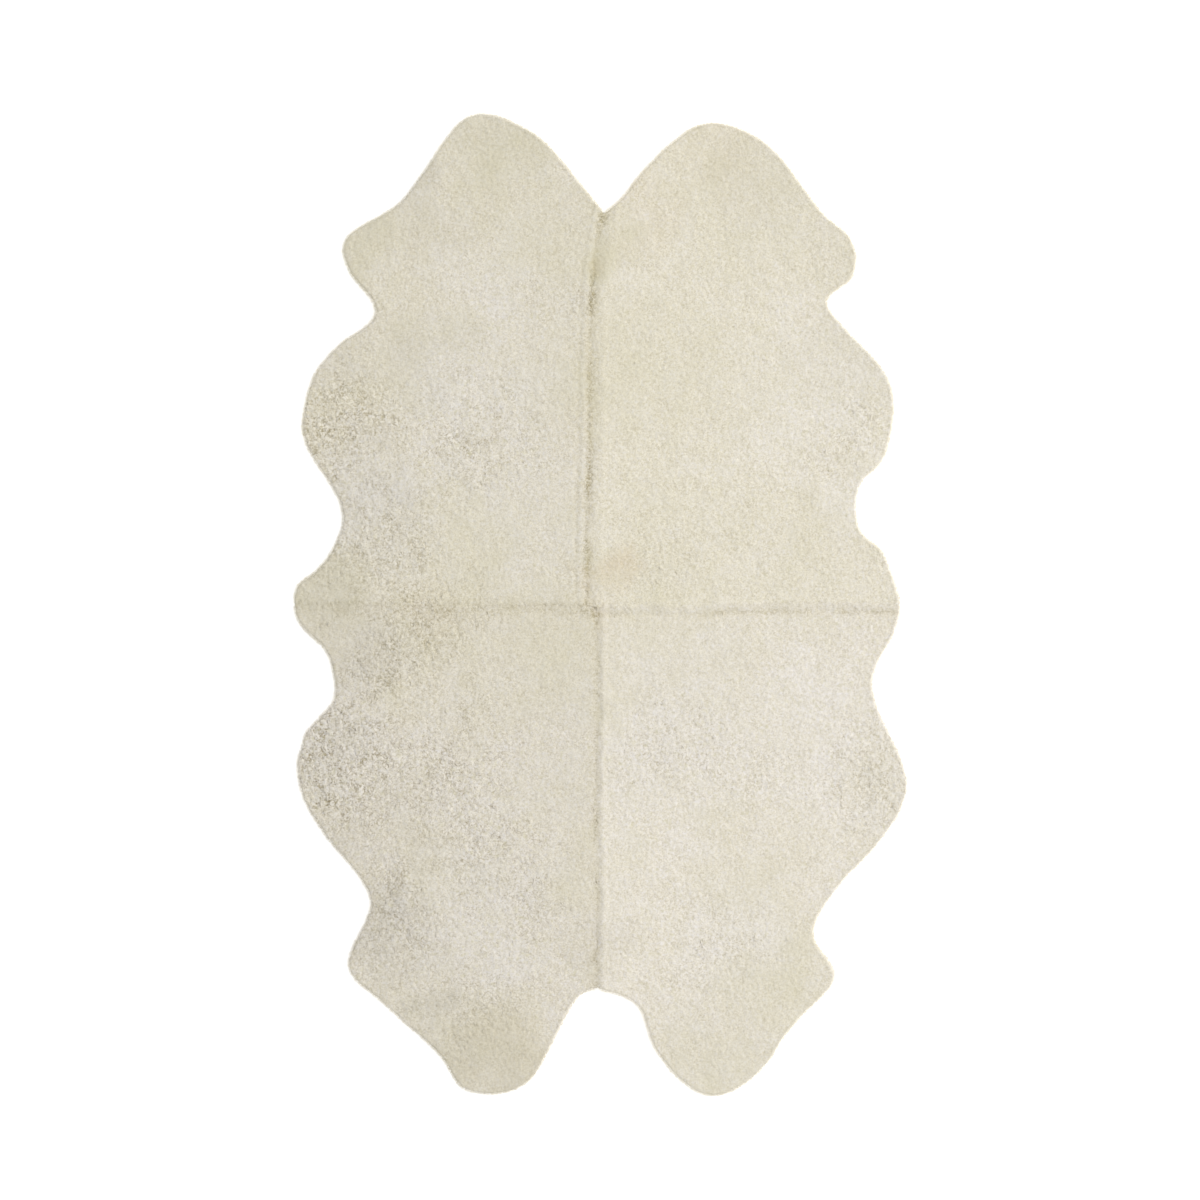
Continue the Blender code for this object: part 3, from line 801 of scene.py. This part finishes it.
def curlGroup():  # raises curls, creases and nap on the shorn wool, and stores how low each point lies, as rise for the painted shade in the hollows
    group, given, result = newGroup("wool curls", curlSizes)
    place = addNode(group, "GeometryNodeInputPosition")[0]
    named = addNode(group, "GeometryNodeInputNamedAttribute", {"Name": "push"}, data_type="FLOAT_VECTOR")
    curly = readValue(group, "curly")

    def swelled(label, shift):  # a smooth noise about nothing
        scale = sums("DIVIDE", 1.0, given[label])
        wave = noiseAt(place, scale, shift=(shift, 0.7 * shift, 0.3 * shift))
        return minus(wave, 0.5)

    def domes(label, reach, shift):
        scale = sums("DIVIDE", 1.0, given[label])
        away = ramp(creviceAt(place, scale, reach, shift), 0.0, 0.30)
        return sums("SQRT", away)

    curl = domes("Curl Width", curlBend, 0.0)
    twist = domes("Twist Width", twistBend, twistShift)
    line = times(sums("ABSOLUTE", swelled("Ridge Width", 7.7)), 7.0)
    ridge = minus(1.0, sums("MINIMUM", line, 1.0))
    height = times(curl, given["Curl Height"])
    height = sums("ADD", height, times(twist, given["Twist Height"]))
    height = sums("ADD", height, times(ridge, given["Ridge Height"]))
    height = minus(height, times(given["Curl Height"], 1.3))
    height = times(height, timesPlus(curly, 0.85, 0.15))
    nap = swelled("Nap Width", 5.0)
    height = timesPlus(nap, given["Nap Height"], height)
    lump = times(swelled("Lump Width", 1.3), timesPlus(curly, 1.4, 0.6))
    height = timesPlus(lump, given["Lump Height"], height)
    height = times(height, readValue(group, "loose"))
    # rise: painted shade, darker the lower a point lies among the curls and in the crevices
    share = timesPlus(curl, 0.45, times(twist, 0.35))
    share = timesPlus(ridge, 0.20, share)
    depth = minus(1.0, share)
    depth = times(depth, timesPlus(curly, 0.8, 0.2))
    rise = minus(1.0, times(depth, 0.55))
    stored = storeValue(group, given["Geometry"], "restAt", place, "FLOAT_VECTOR")
    stored = storeValue(group, stored, "rise", rise)
    inputs = {"Geometry": stored, "Offset": vectors("SCALE", named[0], {"Scale": height})}
    moved = addNode(group, "GeometryNodeSetPosition", inputs)[0]
    group.links.new(moved, result.inputs[0])
    return group


lockSizes = {
    "Tufts": 3600.0,  # for each square metre of smooth wool
    "Curly Tufts": 17800.0,  # added where it is curliest
    "Seam Tufts": 42000.0,
    "Rim Tufts": 22000.0,
    "Rim Hairs": 310000.0,
    "Darkest Lock": -0.30,  # tone of single locks and hairs
    # hairs are painted paler, against their shade at the rim
    "Darkest Hair": 0.1,
    "Palest": 0.14,
    "Smallest": 0.75,
    "Largest": 1.25,
    "Lowest": 0.3 * mm,  # no lock sinks below this
}
lockShape = {"root": -1.2 * mm, "squash": 0.65, "seed": 4}  # squash: height of a lock for its width
lockKinds = {  # each size lies between two
    "curl": {"count": 14, "length": (9 * mm, 18 * mm), "turn": (1.8, 4.4), "steps": 5, "rooted": False,
             "thick": (0.7 * mm, 1.25 * mm), "rise": (1.5 * mm, 2.8 * mm)},
    "tuft": {"count": 12, "length": (6 * mm, 11 * mm), "turn": (0.8, 2.6), "steps": 3, "rooted": False,
             "thick": (0.5 * mm, 0.9 * mm), "rise": (0.7 * mm, 1.6 * mm)},
    "hair": {"count": 10, "length": (1 * mm, 4 * mm), "turn": (0.3, 1.2), "steps": 2, "rooted": True,
             "thick": (0.15 * mm, 0.27 * mm), "rise": (4.0 * mm, 9.5 * mm)},
}


def finished(work, name):  # a new object from the worked mesh, its faces turned outward
    bmesh.ops.recalc_face_normals(work, faces=work.faces)
    mesh = bpy.data.meshes.new(name)
    work.to_mesh(mesh)
    work.free()
    return bpy.data.objects.new(name, mesh)


# A closed lock of three sides, a ridge uppermost. It arcs out of the wool and back, or stands if rooted.
def lockMesh(name, seed, length, turn, thick, rise, steps, rooted):
    dice = random.Random(seed)
    heading = 0.0
    spot = Vector((0.0, 0.0, lockShape["root"]))
    spine = [spot.copy()]
    for step in range(steps):
        share = (step + 0.5) / steps
        heading += turn / steps * dice.uniform(0.6, 1.4)
        if rooted:
            climb = rise / steps
        else:
            climb = rise * math.cos(math.pi * share) * math.pi / steps
        ahead = (math.cos(heading) * length / steps, math.sin(heading) * length / steps, climb)
        spot = spot + Vector(ahead)
        spine.append(spot.copy())
    if not rooted:
        middle = sum(spine, Vector()) / len(spine)
        spine = [point - Vector((middle.x, middle.y, 0.0)) for point in spine]
    verts = [spine[0]]
    for step in range(1, steps):
        ahead = (spine[step + 1] - spine[step - 1]).normalized()
        side = ahead.cross(Vector((0, 0, 1))).normalized()
        up = side.cross(ahead)
        width = thick * math.sin(math.pi * (step / steps * 0.8 + 0.12))
        for angle in (0.5 * math.pi, 1.17 * math.pi, 1.83 * math.pi):
            across = side * math.cos(angle) * width
            verts.append(spine[step] + across + up * math.sin(angle) * width * lockShape["squash"])
    verts.append(spine[-1])
    tip = len(verts) - 1
    faces = []
    for side in range(3):
        beside = (side + 1) % 3
        faces.append((0, 1 + beside, 1 + side))
        for step in range(steps - 2):
            row = 1 + 3 * step
            faces.append((row + side, row + beside, row + 3 + beside, row + 3 + side))
        last = 1 + 3 * (steps - 2)
        faces.append((last + side, last + beside, tip))
    work = bmesh.new()
    corners = [work.verts.new(vert) for vert in verts]
    for face in faces:
        work.faces.new([corners[i] for i in face])
    return finished(work, name)


def lockSet(name, kind):  # a collection of locks of one kind
    dice = random.Random(lockShape["seed"])
    made = bpy.data.collections.new(name)
    for number in range(kind["count"]):
        picked = [dice.uniform(*kind[label]) for label in ("length", "turn", "thick", "rise")]
        picked[1] *= dice.choice((-1, 1))
        picked += [kind["steps"], kind["rooted"]]
        made.objects.link(lockMesh("%s%02d" % (name, number), number, *picked))
    return made


def lockGroup(material, locks):  # sets curls, tufts and rim hairs on the wool
    group, given, result = newGroup("wool locks", lockSizes)
    rimSide = readValue(group, "rimSide")
    woolTop = readValue(group, "woolTop")

    def anyFrom(seed, low, high):
        inputs = {2: low, 3: high, "Seed": seed}
        return addNode(group, "FunctionNodeRandomValue", inputs, data_type="FLOAT")[1]

    def scatter(density, kind, seed, tilt, darkest):
        inputs = {"Mesh": given["Geometry"], "Density": density, "Seed": seed}
        spread = addNode(group, "GeometryNodeDistributePointsOnFaces", inputs)
        inputs = {"Collection": locks[kind], "Separate Children": True, "Reset Children": True}
        picked = addNode(group, "GeometryNodeCollectionInfo", inputs)[0]
        inputs = {
            "Points": spread[0],
            "Instance": picked,
            "Pick Instance": True,
            "Scale": anyFrom(seed, given["Smallest"], given["Largest"]),
            "Rotation": spread["Rotation"],
        }
        placed = addNode(group, "GeometryNodeInstanceOnPoints", inputs)[0]
        inputs = {0: (-tilt, -tilt, 0.0), 1: (tilt, tilt, 2 * math.pi), "Seed": seed + 1}
        turn = addNode(group, "FunctionNodeRandomValue", inputs, data_type="FLOAT_VECTOR")[0]
        spin = addNode(group, "FunctionNodeEulerToRotation", {0: turn})[0]
        inputs = {"Instances": placed, "Rotation": spin}
        turned = addNode(group, "GeometryNodeRotateInstances", inputs)[0]
        tone = anyFrom(seed + 2, darkest, given["Palest"])
        return storeValue(group, turned, "tone", tone, domain="INSTANCE")

    curliest = minus(readValue(group, "curly"), 0.25)
    curls = times(sums("MAXIMUM", curliest, 0.0), given["Curly Tufts"])
    curls = times(curls, woolTop)
    tufts = timesPlus(readValue(group, "seamSide"), given["Seam Tufts"], given["Tufts"])
    tufts = times(tufts, woolTop)
    tufts = timesPlus(rimSide, given["Rim Tufts"], tufts)
    hairs = times(rimSide, given["Rim Hairs"])
    joined = group.nodes.new("GeometryNodeJoinGeometry")
    for made in (
        scatter(hairs, "hair", 11, 0.6, given["Darkest Hair"]),
        scatter(tufts, "tuft", 21, 0.35, given["Darkest Lock"]),
        scatter(curls, "curl", 31, 0.3, given["Darkest Lock"]),
    ):
        group.links.new(made, joined.inputs[0])
    real = addNode(group, "GeometryNodeRealizeInstances", {"Geometry": joined.outputs[0]})[0]
    place = addNode(group, "GeometryNodeInputPosition")[0]
    split = addNode(group, "ShaderNodeSeparateXYZ", {0: place})
    lifted = sums("MAXIMUM", split[2], given["Lowest"])
    lifted = addNode(group, "ShaderNodeCombineXYZ", {0: split[0], 1: split[1], 2: lifted})[0]
    real = addNode(group, "GeometryNodeSetPosition", {"Geometry": real, "Position": lifted})[0]
    stored = storeValue(group, real, "restAt", place, "FLOAT_VECTOR")
    # locks and hairs are painted paler than the wool they stand on: painted light against the shade on
    # their sides, with tone as random differences
    rise = timesPlus(readValue(group, "rise"), 0.30, 0.95)
    stored = storeValue(group, stored, "rise", sums("ADD", rise, readValue(group, "tone")))
    stored = storeValue(group, stored, "onLock", 1.0)
    coated = addNode(group, "GeometryNodeSetMaterial", {"Geometry": stored, "Material": material})
    group.links.new(coated[0], result.inputs[0])
    return group


hideSizes = {
    "thick": 2.0 * mm,
    "step": 14.0 * mm,
    "edgeStep": 7.0 * mm,
    "rows": (2.5 * mm, 6.0 * mm),  # of points beside the seams
    "skive": 1.0 * mm,  # thinned from below along the seams, to bed the stitches
    "skiveReach": 5.0 * mm,
    "cockle": 0.5 * mm,
    "cockleReach": 20.0 * mm,
    "lift": 0.6 * mm,
    "liftReach": 6.0 * mm,
    "sharp": 50.0,  # degrees
}


def hideMesh(name, number):
    size = hideSizes
    dice = np.random.default_rng(900 + number)
    edge = outlines[name][1].copy()
    drawnIn = slidSeam(outlines[name][2], outlineSizes["undercut"])
    edge[0], edge[-1] = drawnIn[-1], drawnIn[0]
    edge = spaced(edge, size["edgeStep"])
    sewn = spacedLegs(drawnIn, size["edgeStep"])
    loop = np.concatenate([edge, sewn[1:-1]])
    field = hexField(loop, size["step"], 0.12, dice)
    field = field[(distanceTo(edge, field) > 7 * mm) & (distanceTo(sewn, field) > 11 * mm)]
    beside = np.concatenate([(sewn - inset * outwardOf(sewn))[1:-1] for inset in size["rows"]])
    beside = beside[insideOf(loop, beside) & (distanceTo(edge, beside) > 4 * mm)]
    beside = beside[distanceTo(sewn, beside) > 2 * mm]
    plan = np.concatenate([loop, beside, field])
    across, along = plan.T
    fromSeam = distanceTo(sewn, plan)
    low = size["skive"] * fading(fromSeam, size["skiveReach"])
    wave = 0.5 + 0.25 * np.sin(across * 61 + 2 * np.sin(along * 23)) + 0.25 * np.sin(along * 47 + number)
    low = low + size["cockle"] * wave**2 * growing(fromSeam, size["cockleReach"])
    low = low + size["lift"] * fading(distanceTo(edge, plan), size["liftReach"])
    low -= low.min()
    high = np.full(len(plan), size["thick"])
    faces = filled(loop, plan[len(loop):])
    count = len(plan)
    faces += [tuple(count + i for i in face[::-1]) for face in list(faces)]
    for i in range(len(loop)):
        j = (i + 1) % len(loop)
        faces.append((i, count + i, count + j, j))
    verts = np.concatenate([np.column_stack([plan, high]), np.column_stack([plan, low])])
    mesh = bpy.data.meshes.new("hide_" + name)
    mesh.from_pydata(verts.tolist(), [], faces)
    mesh.shade_smooth()
    mesh.set_sharp_from_angle(angle=math.radians(size["sharp"]))
    return mesh


stitchSizes = {
    "Pitch": 5.0 * mm,
    "Thread": 0.42 * mm,
    "Reach": 3.1 * mm,
    "Slant": 1.6 * mm,
    "Height": 0.55 * mm,
    "Rise": 0.25 * mm,
    "Ends": 0.9 * mm,
    "Sides": 5,
}


# One slanted stitch across a seam that runs along X, its ends turned up into the hide.
def stitchMesh():
    size = stitchSizes
    half = []
    for along, across, rise in ((0.3, 0.5, 0.0), (0.5, 0.9, size["Rise"]), (0.5, 1.0, size["Ends"])):
        half.append((size["Slant"] * along, size["Reach"] * across, size["Height"] + rise))
    spine = [Vector((-x, -y, z)) for x, y, z in half[::-1]] + [Vector(spot) for spot in half]
    work = bmesh.new()
    rows = []
    for place, point in enumerate(spine):
        ahead = (spine[min(place + 1, len(spine) - 1)] - spine[max(place - 1, 0)]).normalized()
        side = ahead.cross(Vector((1, 0, 0))).normalized()
        up = side.cross(ahead)
        ring = []
        for angle in np.arange(size["Sides"]) * math.tau / size["Sides"]:
            spot = point + (side * math.cos(angle) + up * math.sin(angle)) * size["Thread"]
            ring.append(work.verts.new(spot))
        rows.append(ring)
    for before, after in zip(rows, rows[1:]):
        for i in range(size["Sides"]):
            j = (i + 1) % size["Sides"]
            work.faces.new((before[i], before[j], after[j], after[i]))
    work.faces.new(rows[0][::-1])
    work.faces.new(rows[-1])
    made = finished(work, "stitch")
    made.data.shade_smooth()
    return made


def stitchGroup(stitch, material):  # one stitch at each pitch along the seam lines
    group, given, result = newGroup("seam stitching", {"Pitch": stitchSizes["Pitch"]})
    line = addNode(group, "GeometryNodeMeshToCurve", {"Mesh": given["Geometry"]})[0]
    inputs = {"Curve": line, "Length": given["Pitch"]}
    even = addNode(group, "GeometryNodeResampleCurve", inputs, mode="LENGTH")[0]
    inputs = {"Vector": addNode(group, "GeometryNodeInputTangent")[0]}
    turned = addNode(group, "FunctionNodeAlignRotationToVector", inputs, axis="X", pivot_axis="Z")
    single = addNode(group, "GeometryNodeObjectInfo", {"Object": stitch})["Geometry"]
    inputs = {"Points": even, "Instance": single, "Rotation": turned[0]}
    placed = addNode(group, "GeometryNodeInstanceOnPoints", inputs)[0]
    real = addNode(group, "GeometryNodeRealizeInstances", {"Geometry": placed})[0]
    coated = addNode(group, "GeometryNodeSetMaterial", {"Geometry": real, "Material": material})[0]
    group.links.new(coated, result.inputs[0])
    return group


def newObject(name, mesh):
    obj = bpy.data.objects.new(name, mesh)
    bpy.context.scene.collection.objects.link(obj)
    return obj


suede = suedeMaterial("suede", suedeLook)
thread = threadMaterial("thread", threadLook)
raiseCurls = curlGroup()
lockSets = {name: lockSet(name, kind) for name, kind in lockKinds.items()}
for number, name in enumerate(pelts):
    rim, hideEdge, seam = outlines[name]
    wool = woolMaterial("wool_" + name, woolColours[name])
    fleece = newObject("fleece_" + name, fleeceMesh(name, number))
    fleece.data.materials.append(wool)
    applyGroup(fleece, raiseCurls, curlSizes)
    locks = newObject("locks_" + name, fleece.data.copy())
    applyGroup(locks, lockGroup(wool, lockSets), lockSizes)
    spots = np.zeros(len(locks.data.vertices) * 3, np.float32)
    locks.data.vertices.foreach_get("co", spots)
    bakeMap(locks.data, spots.reshape(-1, 3)[:, :2], rim, 15 * mm)
    hide = newObject("hide_" + name, hideMesh(name, number))
    hide.data.materials.append(suede)
    pieces = (fleece, locks, hide)
    for piece in pieces:
        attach(piece, "root")
        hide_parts("pelt_" + name)
    counts = [sum(len(face.vertices) - 2 for face in piece.data.polygons) for piece in pieces]
    print("pelt", name, "triangles", counts)

# stitches on the underside, along both seams
seamMesh = bpy.data.meshes.new("seam lines")
spots = []
links = []
for name, sewnLeg in (("upper_left", "both"), ("lower_left", "middle"), ("upper_right", "across")):
    line = slidSeam(outlines[name][2], 12 * mm)
    middle = isMiddle(line)
    if sewnLeg != "both":
        line = line[middle if sewnLeg == "middle" else ~middle]
    line = spaced(line, stitchSizes["Pitch"])
    first = len(spots)
    spots += [(float(x), float(y), 0.0) for x, y in line]
    links += [(first + i, first + i + 1) for i in range(len(line) - 1)]
seamMesh.from_pydata(spots, links, [])
stitching = newObject("seam_stitching", seamMesh)
stitch = stitchMesh()
applyGroup(stitching, stitchGroup(stitch, thread), stitchSizes)
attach(stitching, "root")
print("stitching", len(stitching.data.polygons), "faces")
for spare in [stitch, *(lock for made in lockSets.values() for lock in made.objects)]:
    bpy.data.objects.remove(spare, do_unlink=True)


floorPaint, floorTree, floorShader = newMaterial("floor", 1.0, 0.0)
floorShader.inputs["Base Color"].default_value = (0.93, 0.93, 0.93, 1.0)
floorShader.inputs["Emission Color"].default_value = (1.0, 1.0, 1.0, 1.0)
floorShader.inputs["Emission Strength"].default_value = 0.50
floorMesh = bpy.data.meshes.new("floor")
far = 9.0
floorMesh.from_pydata([(-far, -far, 0), (far, -far, 0), (far, far, 0), (-far, far, 0)], [], [(0, 1, 2, 3)])
floorMesh.materials.append(floorPaint)
floor = newObject("floor", floorMesh)
floor.location.z = -0.3 * mm
print("floor laid")

lightSizes = {"world": 0.74, "key": 1.55, "angle": 22.0, "from": (0.95, 0.30, 1.0)}
world = bpy.data.worlds.new("studio")
world.use_nodes = True
sky = world.node_tree.nodes["Background"].inputs
sky["Color"].default_value = (1.0, 1.0, 1.0, 1.0)
sky["Strength"].default_value = lightSizes["world"]
bpy.context.scene.world = world
key = bpy.data.lights.new("key", "SUN")
key.energy = lightSizes["key"]
key.angle = math.radians(lightSizes["angle"])
key.color = (1.0, 0.99, 0.97)
keyLight = newObject("key", key)
keyLight.rotation_euler = (-Vector(lightSizes["from"])).to_track_quat("-Z", "Y").to_euler()

photoScale = 1.8616 * mm  # of one of the photograph's 1200 pixels, at the rug
cameraData = bpy.data.cameras.new("camera")
cameraData.lens = 90.0
cameraData.sensor_width = 36.0
camera = newObject("camera", cameraData)
height = 1200 * photoScale * cameraData.lens / cameraData.sensor_width
camera.location = (-1.0 * photoScale, 4.5 * photoScale, height + fleeceSizes["widest"])
bpy.context.scene.camera = camera
bpy.context.scene.view_settings.view_transform = "Standard"
print("light and camera set")
